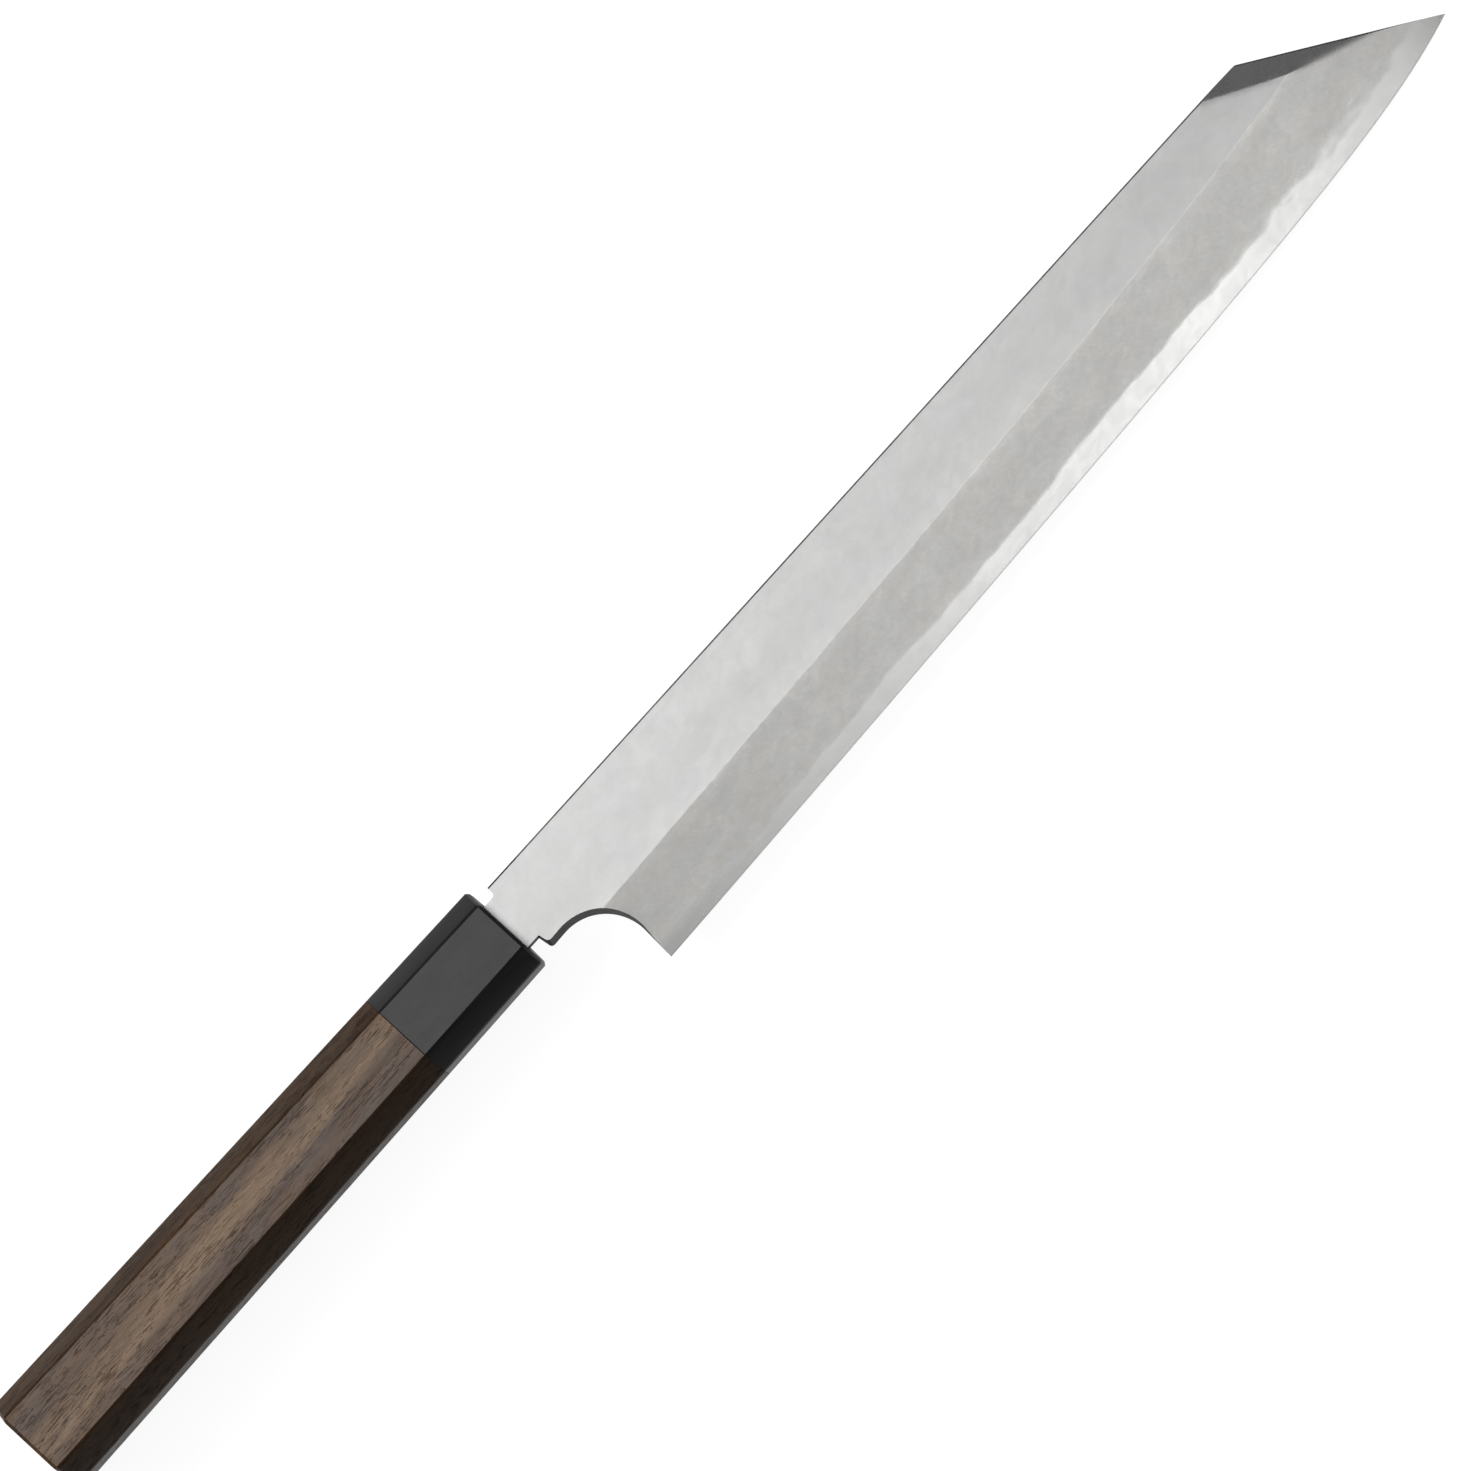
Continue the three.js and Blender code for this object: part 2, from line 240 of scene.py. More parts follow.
def bumpy(tree, shader, height, depth):
    made = addNode(tree, "ShaderNodeBump", {"Height": height, "Distance": depth, "Strength": 1.0})
    feed(tree, shader.inputs["Normal"], made.outputs["Normal"])


# camera: the knife seen almost square on, through a long lens

view = {
    "pixelsPerMm": 4.78,
    "imagePixels": 1470,
    "sideTilt": 8.8,           # degrees that the edge is turned towards the camera
    "slope": 47.93,            # degrees that the knife climbs across the picture
    "fromMouth": (0.0618, -0.00855, 0.0),    # metres from the ferrule's mouth to the picture's middle
    "distance": 2.0,
    "sensor": 36.0,
}
tilt = math.radians(view["sideTilt"])
slope = math.radians(view["slope"])
downBlade = Vector((0, -math.cos(tilt), -math.sin(tilt)))    # from spine to edge in the picture
imageRight = Vector((math.cos(slope), 0, 0)) + downBlade * math.sin(slope)
imageUp = Vector((math.sin(slope), 0, 0)) - downBlade * math.cos(slope)
toCamera = imageRight.cross(imageUp)
middle = Vector((mouthX, *handleAxis)) + Vector(view["fromMouth"])


def turned(axisX, axisY, axisZ, place):
    spin = Matrix((axisX, axisY, axisZ)).transposed().to_4x4()
    return Matrix.Translation(place) @ spin


def setCamera():
    frameWidth = view["imagePixels"] / view["pixelsPerMm"] / 1000
    data = bpy.data.cameras.new("camera")
    data.sensor_width = view["sensor"]
    data.lens = view["sensor"] * view["distance"] / frameWidth
    camera = bpy.data.objects.new("camera", data)
    bpy.context.scene.collection.objects.link(camera)
    camera.matrix_world = turned(imageRight, imageUp, toCamera, middle + toCamera * view["distance"])
    bpy.context.scene.camera = camera
    print("camera set, lens", round(data.lens, 1))


setCamera()


# table and light

table = {
    "size": 30.0,
    "white": 0.45,
    "glow": 1.28,
    "glowShare": 0.72,
    "frontEase": 0.0006,       # metres that the ferrule's front edge is eased
}
lamps = {                      # degrees left of the camera and above it, metres
    "softBox": {"left": (-2.4, 45), "up": (-24, 20), "distance": 5.5, "radiance": 1.45, "mirrored": True},
    "sideBox": {"left": (50, 80), "up": (-12, 22), "distance": 4.0, "radiance": 12.5, "mirrored": False},
}
room = {
    "overhead": 0.05,
    "horizon": 0.4,
    "fadeUp": (0.28, 0.93),    # sine of the height over which the horizon's light fades
    "flag": (-0.95, -0.6),     # the side that the edge faces stays dim
}


def tableFinish():
    # pale paper that looks white to the camera and in the metal, and keeps the knife's shadow
    finish, tree = emptyFinish("table_white")
    rays = tree.nodes.new("ShaderNodeLightPath")
    seen = sums(tree, "MAXIMUM", rays.outputs["Is Camera Ray"], rays.outputs["Is Glossy Ray"])
    seen = sums(tree, "MAXIMUM", seen, rays.outputs["Is Transmission Ray"])
    share = sums(tree, "MULTIPLY", seen, table["glowShare"])
    paper = addNode(tree, "ShaderNodeBsdfDiffuse", {"Color": (table["white"],) * 3 + (1,)})
    glow = addNode(tree, "ShaderNodeEmission", {"Strength": table["glow"]})
    both = addNode(tree, "ShaderNodeMixShader", {0: share, 1: paper.outputs[0], 2: glow.outputs[0]})
    addNode(tree, "ShaderNodeOutputMaterial", {"Surface": both.outputs[0]})
    return finish


def layTable():
    # the knife lies on the ferrule's lower front edge and on its point, so the table leans a little
    ferruleLow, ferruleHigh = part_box("ferrule")
    steelLow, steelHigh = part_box("edge_steel")
    frontX = ferruleHigh.x - table["frontEase"]
    taper = (gripLow.z - ferruleLow.z) / (gripLow.x - ferruleLow.x)
    frontZ = ferruleLow.z + (frontX - ferruleLow.x) * taper
    lean = math.atan2(steelLow.z - frontZ, steelHigh.x - frontX)
    bpy.ops.object.select_all(action="DESELECT")
    bpy.ops.mesh.primitive_plane_add(size=table["size"], location=(steelHigh.x, 0, steelLow.z))
    top = bpy.context.object
    top.name = "table_top"
    top.rotation_euler.y = -lean
    top.data.materials.append(tableFinish())
    print("table laid, lean", round(math.degrees(lean), 2))


def hangLamp(name, box):
    # a lamp that fills its box of degrees, as the knife sees it
    left, up = (math.radians(sum(box[way]) / 2) for way in ("left", "up"))
    halfLeft, halfUp = (math.radians(box[way][1] - box[way][0]) / 2 for way in ("left", "up"))
    level = toCamera * math.cos(left) - imageRight * math.sin(left)
    away = level * math.cos(up) + imageUp * math.sin(up)
    lampRight = imageUp.cross(away).normalized()
    lampUp = away.cross(lampRight)
    data = bpy.data.lights.new(name, "AREA")
    data.shape = "RECTANGLE"
    data.size = 2 * box["distance"] * math.tan(halfLeft)
    data.size_y = 2 * box["distance"] * math.tan(halfUp)
    data.energy = box["radiance"] * math.pi * data.size * data.size_y
    lamp = bpy.data.objects.new(name, data)
    bpy.context.scene.collection.objects.link(lamp)
    lamp.matrix_world = turned(lampRight, lampUp, away, middle + away * box["distance"])
    lamp.visible_camera = False
    lamp.visible_glossy = box["mirrored"]


def lightRoom():
    world = bpy.data.worlds.new("room")
    bpy.context.scene.world = world
    world.use_nodes = True
    tree = world.node_tree
    walls = tree.nodes["Background"]
    walls.inputs["Color"].default_value = (1, 1, 1, 1)
    coords = tree.nodes.new("ShaderNodeTexCoord")
    place = addNode(tree, "ShaderNodeSeparateXYZ", {"Vector": coords.outputs["Generated"]})
    fade = between(tree, place.outputs["Z"], *room["fadeUp"], room["horizon"], 0)
    glow = sums(tree, "MULTIPLY", fade, between(tree, place.outputs["Y"], *room["flag"]))
    feed(tree, walls.inputs["Strength"], sums(tree, "ADD", glow, room["overhead"]))
    for name, box in lamps.items():
        hangLamp(name, box)
    print("room lit by", list(lamps))


layTable()
lightRoom()


# blade

blade = {
    "patterns": {              # noise spots in metres, and the degrees that they are turned
        "clouds": {"size": (0.02, 0.009, 0.009), "detail": 3, "rough": 0.55, "twist": 0.6},
        "mottles": {"size": (0.0046, 0.003, 0.003), "turn": 20, "detail": 3, "rough": 0.55, "twist": 0.9},
        "tones": {"size": (0.008, 0.005, 0.005), "turn": -15, "detail": 3, "rough": 0.6, "twist": 0.6},
        "specks": {"size": (0.0013, 0.0008, 0.0008), "turn": -30, "twist": 0.6},
        "hairs": {"size": (0.03, 0.00016, 0.00016), "turn": 1.5},
        "paleMarks": {"size": (0.0044, 0.00036, 0.00036), "turn": 33, "detail": 1},
        "darkMarks": {"size": (0.0036, 0.00032, 0.00032), "turn": -64, "detail": 1},
        "veils": {"size": (0.006, 0.003, 0.003), "detail": 4},
        "glintWobble": {"size": (0.007, 0.002, 0.002), "turn": 12, "detail": 3, "rough": 0.6},
        "raggedWeld": {"size": (0.006, 0.003, 0.003)},
    },
    "cloudSpan": (0.32, 0.68),
    "toneSpan": (0.36, 0.64),
    "paleSpan": (0.68, 0.75),
    "darkSpan": (0.69, 0.76),
    "warmth": (1, 0.3, -1.4),    # how a warm patch shifts red, green and blue
    "shineSway": 0.012,
    "usual": {                 # strengths of the patterns, where a finish gives no other
        "cloud": 0.02, "mottle": 0.012, "tint": 0.0, "fleck": 0.0, "marks": 0.0, "lines": 0.01,
        "grain": 5e-7, "metallic": 1.0, "gloss": 0.5,
    },
    "finishes": {
        "flat_satin": {"grey": (0.622, 0.622, 0.621), "rough": 0.34, "cloud": 0.016, "mottle": 0.02,
                       "tint": 0.006, "fleck": 0.014},
        "bevel_haze": {"grey": (0.62, 0.619, 0.613), "rough": 0.29, "cloud": 0.034, "mottle": 0.042,
                       "tint": 0.02, "fleck": 0.036, "marks": 0.06},
        "edge_bright": {"grey": (0.71, 0.71, 0.704), "rough": 0.09, "cloud": 0.015, "mottle": 0.016,
                        "tint": 0.008, "fleck": 0.01, "lines": 0.002, "grain": 3e-8},
        "clip_facet": {"grey": (0.61, 0.61, 0.608), "rough": 0.28, "cloud": 0.04, "grain": 1e-7},
        # painted shade: near-black steel on the walls of the neck and the finger notch
        "painted_shade_wall": {"grey": (0.03, 0.03, 0.031), "rough": 0.48, "cloud": 0.12, "mottle": 0.1},
        "polished_rim": {"grey": (0.66, 0.66, 0.66), "rough": 0.2, "tint": 0.004},
        "hollow_back": {"grey": (0.6, 0.6, 0.6), "rough": 0.36, "cloud": 0.03, "lines": 0.05},
        "spine_satin": {"grey": (0.5, 0.5, 0.495), "rough": 0.36, "cloud": 0.04, "mottle": 0.03,
                        "lines": 0.03},
        # painted shade: dark grey on the eased corners of spine and clip, for the dark line that these
        # rounded corners reflect
        "painted_dark_corner": {"grey": (0.12, 0.12, 0.121), "rough": 0.4, "cloud": 0.3, "mottle": 0.3},
        # painted shade: a black dielectric on the neck's faces, the shoulder's back and the corners by the
        # point, where bare steel would mirror the white table
        "painted_black_shade": {"grey": (0.012, 0.012, 0.012), "rough": 0.45, "cloud": 0.2, "mottle": 0.2,
                       "metallic": 0.0, "gloss": 0.03},
    },

    # shades that follow a line: metres from it or along the blade, and the shade at both ends
    "flatMiddle": 0.0068,      # metres above the ridge
    "flatSides": (0.0012, 0.0062, 0.982, 1.03),
    "neckPaintedLight": (0.0024, 1.36),    # painted light: the flat is lighter by this over the first metres from the ferrule, lifting the ferrule's shadow and dark reflection
    "heelSpan": (-0.045, 0.05),
    # painted shade: the bevel darkens towards the heel
    "bevelHeel": (0.88, 1.04),
    "veilRagged": 0.0012,
    # painted sheen under the ridge, and a ragged painted glint at it, for the light that the rounded ridge
    # catches
    "ridgeSheen": (-0.0028, -0.0002, 1.0, 1.05),
    "glintRagged": (-0.0014, 0.0012),
    "ridgeGlint": (-0.0006, -0.0001, 1.0, 1.085),
    "weldVeil": (0.0018, 0.0002, 1.0, 1.04),
    "clipShade": (0.0055, 0.66),    # painted shade: the bevel darkens by this over the last metres before the clip, where the real surface rolls over
    "clipBright": (0.184, 0.203),    # but not by the point
    "weldFade": (0.0002, -0.0008),    # the bright steel fades into the iron
    "weldRagged": 0.0003,
    "pointSoft": 5.0,          # times softer and more ragged by the point
    "heelSoft": 3.0,           # and by the heel
    "heelRun": (-0.045, 0.0),
    "brightRise": (-0.0435, 0.062),    # places along the blade between which the bright band comes up, as painted light for the bevel's changing reflection
    "brightFall": (0.13, 0.184),    # and fades towards the point, as painted shade
    "pointBright": 0.66,
    "hazeReach": (0.0, -0.002),
    # painted shade: the haze darkens towards the heel
    "hazeHeel": (0.78, 0.92),
    "hazeInside": (0.84, 0.98),
    "edgeLine": 0.00035,       # metres of the line along the cutting edge, rougher for its stone marks and darker by painted shade
    # painted shade for the shadow under the edge
    "edgeShade": 0.86,
    "edgeRough": 0.15,

    # which way a face looks, as parts of its normal
    "broadLook": 0.9,
    "facetLook": 0.08,
    "bevelLook": -0.06,
    "spineLook": 0.3,
    "shoulderLook": -0.3,
    "hollowDepth": 0.00001,    # metres; a back face deeper than this is part of the hollow

    # places in metres ahead of the ferrule, from the handle's axis or back from the point
    "notchReach": 0.022,
    "notchSpan": (-0.022, -0.006),
    "neckReach": 0.012,
    "blackShadeReach": (0.003, 0.0045),    # up to the shoulder's face and past it
    "toothSpan": (-0.011, -0.008),    # the shoulder's outer corner
    "clipRun": 0.0372,
    "clipMargin": 0.001,

    # eased edges in metres, and angles in degrees
    "ridgeEase": 0.00022,
    "notchEase": 0.00012,
    "easeSegments": 2,
    "toothEase": 0.0008,
    "toothSegments": 5,
    "toothTurn": 50,
    "wallWithin": 6,
    "wallGap": 0.00015,
    "bevelRoll": 0.0015,       # on each side of the edge between bevel and facet
    "flatRoll": 0.0016,        # and between flat and facet
    "rollCuts": 4,
    "rollStart": 0.004,        # length over which a roll comes in
    "rollMargin": 0.004,       # how far its cuts go on behind it
    "cladSharp": 12,           # the ridge turns by less than this and is shaded softly
    "steelSharp": 4,           # the steel's bevel turns by more than this and stays crisp
}
(flatSide, bevelSide, facetSide, wallSide, rimSide,
 hollowSide, spineSide, cornerSide, blackShadeSide) = range(9)    # the slots of the blade's finishes


def inShadeWalls(place):
    # the neck and the finger notch, whose walls get painted shade
    ahead = place.x - mouthX
    inNotch = ahead < blade["notchReach"] and place.y - handleAxis[0] < blade["notchSpan"][1]
    return inNotch or ahead < blade["neckReach"]


def sideOf(face, backZ, clipX):
    turn = face.normal
    if turn.z < -blade["broadLook"]:
        return hollowSide if face.center.z - backZ > blade["hollowDepth"] else rimSide
    if turn.z < blade["broadLook"]:
        if inShadeWalls(face.center):
            # painted shade: black on the neck and the shoulder's back, near-black on the other walls
            neck, shoulder = blade["blackShadeReach"]
            ahead = face.center.x - mouthX
            facesBack = turn.x < blade["shoulderLook"]
            return blackShadeSide if ahead < neck or (ahead < shoulder and facesBack) else wallSide
        # the spine's eased corners get painted shade, black by the point
        if turn.z < blade["spineLook"]:
            return spineSide
        return blackShadeSide if face.center.x > clipX else cornerSide
    if turn.y > blade["facetLook"]:
        return facetSide
    return bevelSide if turn.y < blade["bevelLook"] else flatSide


def lineBetween(mesh, first, second):
    # the points that two kinds of face share, from heel to tip
    corners = {}
    for face in mesh.polygons:
        corners.setdefault(face.material_index, set()).update(face.vertices)
    lowest = {}
    for i in corners[first] & corners[second]:
        x, y = mesh.vertices[i].co.xy
        lowest[x] = min(y, lowest.get(x, y))
    return np.array(sorted(lowest.items()))


def markOffsets(piece, lines, tip, clipRear):
    # stores at each point how far it lies above each line along the blade, and inside the clip
    places = np.array([vertex.co[:2] for vertex in piece.data.vertices])
    inward = np.array((tip.y - clipRear.y, clipRear.x - tip.x))
    inward /= np.linalg.norm(inward)
    offsets = {name: places[:, 1] - np.interp(places[:, 0], *line.T) for name, line in lines.items()}
    offsets["clipDepth"] = (places - np.array(tip[:2])) @ inward
    for name, values in offsets.items():
        layer = piece.data.attributes.new(name, "FLOAT", "POINT")
        layer.data.foreach_set("value", values.astype(np.float32))


def offsetFrom(tree, name):
    return addNode(tree, "ShaderNodeAttribute", attribute_name=name).outputs["Fac"]


def stoned(tree, name):
    return noise(tree, **blade["patterns"][name])


def metalFinish(name):
    # stoned metal: soft clouds, mottling, warm and cool patches, flecks, a few short marks and hairlines
    look = {**blade["usual"], **blade["finishes"][name]}
    sockets = {"Metallic": look["metallic"], "Specular IOR Level": look["gloss"]}
    finish, tree, shader = newFinish(name, sockets)
    warm = tuple(v * (1 + look["tint"] * w) for v, w in zip(look["grey"], blade["warmth"]))
    mottles = stoned(tree, "mottles")
    hairs = stoned(tree, "hairs")
    colour = mixed(tree, between(tree, stoned(tree, "tones"), *blade["toneSpan"]), warm, look["grey"])
    clouds = between(tree, stoned(tree, "clouds"), *blade["cloudSpan"],
                     1 - look["cloud"], 1 + look["cloud"])
    colour = shaded(tree, colour, clouds, swing(tree, mottles, 1 - look["mottle"], 1 + look["mottle"]))
    if look["fleck"]:
        specks = stoned(tree, "specks")
        colour = shaded(tree, colour, swing(tree, specks, 1 - look["fleck"], 1 + look["fleck"]))
    if look["marks"]:
        pale = between(tree, stoned(tree, "paleMarks"), *blade["paleSpan"])
        dark = between(tree, stoned(tree, "darkMarks"), *blade["darkSpan"])
        marks = sums(tree, "SUBTRACT", pale, dark)
        colour = shaded(tree, colour, between(tree, marks, -1, 1, 1 - look["marks"], 1 + look["marks"]))
    feed(tree, shader.inputs["Base Color"], colour)
    sway = swing(tree, mottles, look["rough"] + blade["shineSway"], look["rough"] - blade["shineSway"])
    rough = sums(tree, "ADD", sway, swing(tree, hairs, -look["lines"], look["lines"]))
    feed(tree, shader.inputs["Roughness"], rough)
    bumpy(tree, shader, sums(tree, "ADD", hairs, mottles), look["grain"])
    return finish, tree, shader


def flatFinish():
    # a trace lighter by the ridge and by the spine than along the middle, with painted light on the neck
    # by the ferrule that lifts the ferrule's shadow and dark reflection
    finish, tree, shader = metalFinish("flat_satin")
    fromMiddle = sums(tree, "SUBTRACT", offsetFrom(tree, "ridgeOffset"), blade["flatMiddle"])
    # painted light by the ferrule's mouth
    reach, light = blade["neckPaintedLight"]
    colour = shaded(tree, fedBy(shader, "Base Color"),
                    between(tree, sums(tree, "ABSOLUTE", fromMiddle), *blade["flatSides"]),
                    between(tree, axisOf(tree, "X"), mouthX, mouthX + reach, light, 1))
    feed(tree, shader.inputs["Base Color"], colour)
    return finish


def bevelFinish():
    # hazy iron, with painted shade by the heel and the clip, a painted sheen under the ridge with a ragged
    # painted glint at it, and a lighter strip along the weld
    finish, tree, shader = metalFinish("bevel_haze")
    along = axisOf(tree, "X")
    ragged = swing(tree, stoned(tree, "veils"), -blade["veilRagged"], blade["veilRagged"])
    glintWobble = swing(tree, stoned(tree, "glintWobble"), *blade["glintRagged"])
    ridge = offsetFrom(tree, "ridgeOffset")
    reach, shade = blade["clipShade"]
    lift = between(tree, along, *blade["clipBright"], 0, reach)
    clip = sums(tree, "ADD", offsetFrom(tree, "clipDepth"), lift)
    weld = sums(tree, "ADD", offsetFrom(tree, "weldOffset"), ragged)
    colour = shaded(tree, fedBy(shader, "Base Color"),
                    between(tree, along, *blade["heelSpan"], *blade["bevelHeel"]),
                    between(tree, sums(tree, "ADD", ridge, ragged), *blade["ridgeSheen"]),
                    between(tree, sums(tree, "ADD", ridge, glintWobble), *blade["ridgeGlint"]),
                    between(tree, weld, *blade["weldVeil"]),
                    between(tree, clip, 0, reach, shade, 1))
    feed(tree, shader.inputs["Base Color"], colour)
    return finish


def steelFinish():
    # bright along the edge, hazy where it meets the iron; the band's rise from the heel, its fall towards
    # the point and the darker haze by the heel are painted light and shade; the line at the very edge is
    # rougher for its stone marks and darker by painted shade for the shadow under the edge
    finish, tree, shader = metalFinish("edge_bright")
    steel = fedBy(shader, "Base Color")
    along = axisOf(tree, "X")
    offset = offsetFrom(tree, "weldOffset")
    softPoint = between(tree, along, *blade["brightFall"], 1, blade["pointSoft"])
    softHeel = between(tree, along, *blade["heelRun"], blade["heelSoft"], 1)
    ragged = swing(tree, stoned(tree, "raggedWeld"), -blade["weldRagged"], blade["weldRagged"])
    weld = sums(tree, "DIVIDE", offset, sums(tree, "MULTIPLY", softPoint, softHeel))
    bright = between(tree, sums(tree, "ADD", weld, ragged), *blade["weldFade"], shape="SMOOTHSTEP")
    bright = sums(tree, "MULTIPLY", bright, between(tree, along, *blade["brightRise"]))
    fall = between(tree, along, *blade["brightFall"], 1, blade["pointBright"])
    bright = sums(tree, "MULTIPLY", bright, fall)
    inside = between(tree, offset, *blade["hazeReach"])
    deepest = between(tree, along, *blade["heelSpan"], *blade["hazeInside"])
    haze = shaded(tree, steel, between(tree, along, *blade["heelSpan"], *blade["hazeHeel"]),
                  between(tree, inside, 0, 1, 1, deepest))
    edge = between(tree, offsetFrom(tree, "edgeOffset"), blade["edgeLine"], 0.0)
    colour = mixed(tree, bright, haze, steel)
    # painted shade along the cutting edge
    colour = shaded(tree, colour, between(tree, edge, 0, 1, 1, blade["edgeShade"]))
    feed(tree, shader.inputs["Base Color"], colour)
    duller = blade["finishes"]["bevel_haze"]["rough"] - blade["finishes"]["edge_bright"]["rough"]
    dull = sums(tree, "MULTIPLY", sums(tree, "SUBTRACT", 1.0, bright), duller)
    rough = sums(tree, "ADD", fedBy(shader, "Roughness"), dull)
    rough = sums(tree, "ADD", rough, sums(tree, "MULTIPLY", edge, blade["edgeRough"]))
    feed(tree, shader.inputs["Roughness"], rough)
    return finish


def rollEdge(piece, sides, width, fadeEnd):
    # cuts strips along the edge between two kinds of face and lowers them to a soft roll,
    # which comes in gradually from one end, where all three faces of the point meet
    mesh = piece.data
    line = lineBetween(mesh, *sides)
    start, stop = (Vector((*line[i], 0)) for i in (fadeEnd, -1 - fadeEnd))
    rearX = min(start.x, stop.x) - blade["rollMargin"]
    along = (stop - start).normalized()
    aside = Vector((-along.y, along.x, 0))
    looks = []
    for side in sides:
        faces = [face for face in mesh.polygons if face.material_index == side]
        looks.append(max(faces, key=lambda face: face.center.x).normal.copy())
    halfTurn = math.tan(looks[0].angle(looks[1]) / 2)
    cuts = blade["rollCuts"]

    def isBeside(face):
        return face.material_index in sides and face.center.x > rearX

    for step in [n for n in range(-cuts, cuts + 1) if n]:
        pickParts(piece, "polygons", isBeside)
        bpy.ops.mesh.bisect(plane_co=start + aside * width * step / cuts, plane_no=aside)
        bpy.ops.object.mode_set(mode="OBJECT")
    for i in {i for face in mesh.polygons if face.material_index in sides for i in face.vertices}:
        point = mesh.vertices[i].co
        off = abs((point - start).dot(aside))
        share = min(max((point - start).dot(along) / blade["rollStart"], 0), 1)
        if off < width:
            point.z -= share * halfTurn * (width - off) ** 2 / (2 * width)


def ridgeEdge(ends, turn, kinds):
    return kinds == {flatSide, bevelSide}


def notchRim(ends, turn, kinds):
    # the front edge of the finger notch, but for the thin stretch by the cutting edge
    low, high = blade["notchSpan"]
    inside = all(p.x < mouthX + blade["notchReach"] and low < p.y - handleAxis[0] < high for p in ends)
    return inside and wallSide in kinds and bool(kinds & {flatSide, bevelSide})


def atTooth(place):
    low, high = blade["toothSpan"]
    return 0 < place.x - mouthX < blade["blackShadeReach"][1] and low < place.y - handleAxis[0] < high


def toothCorner(ends, turn, kinds):
    # the shoulder's upright outer corner, beside the finger notch
    upright = (ends[0].xy - ends[1].xy).length < abs(ends[0].z - ends[1].z) / 2
    turns = turn > blade["toothTurn"] and kinds <= {wallSide, blackShadeSide}
    return upright and turns and all(atTooth(p) for p in ends)


def isNeckWall(face):
    inReach = mouthX < face.center.x < mouthX + blade["neckReach"]
    return inReach and face.material_index in (wallSide, blackShadeSide)


def wholeWalls(piece):
    # joins the triangles of each wall by the neck, so that the shoulder's outer corner can be rounded
    pickParts(piece, "vertices", lambda point: atTooth(point.co))
    bpy.ops.mesh.remove_doubles(threshold=blade["wallGap"])
    bpy.ops.object.mode_set(mode="OBJECT")
    pickParts(piece, "polygons", isNeckWall)
    bpy.ops.mesh.dissolve_limited(angle_limit=math.radians(blade["wallWithin"]), delimit={"MATERIAL"})
    bpy.ops.object.mode_set(mode="OBJECT")


def dressBlade():
    clad = copyNode("blade_body", "blade_clad")
    steel = copyNode("edge_steel", "blade_edge")
    steelPoints = [vertex.co.copy() for vertex in steel.data.vertices]
    backZ = min(p.z for p in steelPoints)
    tip = max(steelPoints, key=lambda p: p.x)
    clipX = tip.x - blade["clipRun"]
    behindClip = [p for p in steelPoints if p.x < clipX + blade["clipMargin"]]
    clipRear = max(behindClip, key=lambda p: p.x + p.y)
    print("clip from", [round(v, 4) for v in clipRear], "to", [round(v, 4) for v in tip])
    flat = flatFinish()
    plain = [metalFinish(name)[0] for name in ("clip_facet", "painted_shade_wall", "polished_rim", "hollow_back",
                                               "spine_satin", "painted_dark_corner", "painted_black_shade")]
    for piece, front in ((clad, bevelFinish()), (steel, steelFinish())):
        giveFinishes(piece, (flat, front, *plain), lambda face: sideOf(face, backZ, clipX))
    lines = {
        "ridgeOffset": lineBetween(clad.data, flatSide, bevelSide),
        "weldOffset": lineBetween(steel.data, flatSide, bevelSide),
        "edgeOffset": lineBetween(steel.data, bevelSide, rimSide),
    }
    roundEdges(clad, ridgeEdge, blade["ridgeEase"], blade["easeSegments"])
    wholeWalls(clad)
    roundEdges(clad, toothCorner, blade["toothEase"], blade["toothSegments"], clamp=False)
    roundEdges(clad, notchRim, blade["notchEase"], blade["easeSegments"])
    rollEdge(clad, (facetSide, bevelSide), blade["bevelRoll"], 0)
    rollEdge(clad, (facetSide, flatSide), blade["flatRoll"], -1)
    for piece, sharp in ((clad, blade["cladSharp"]), (steel, blade["steelSharp"])):
        markOffsets(piece, lines, tip, clipRear)
        flatShade(piece, sharp)
    standFor(clad, "blade_body")
    standFor(steel, "edge_steel")
    print("blade dressed,", {name: len(line) for name, line in lines.items()})


dressBlade()


# handle

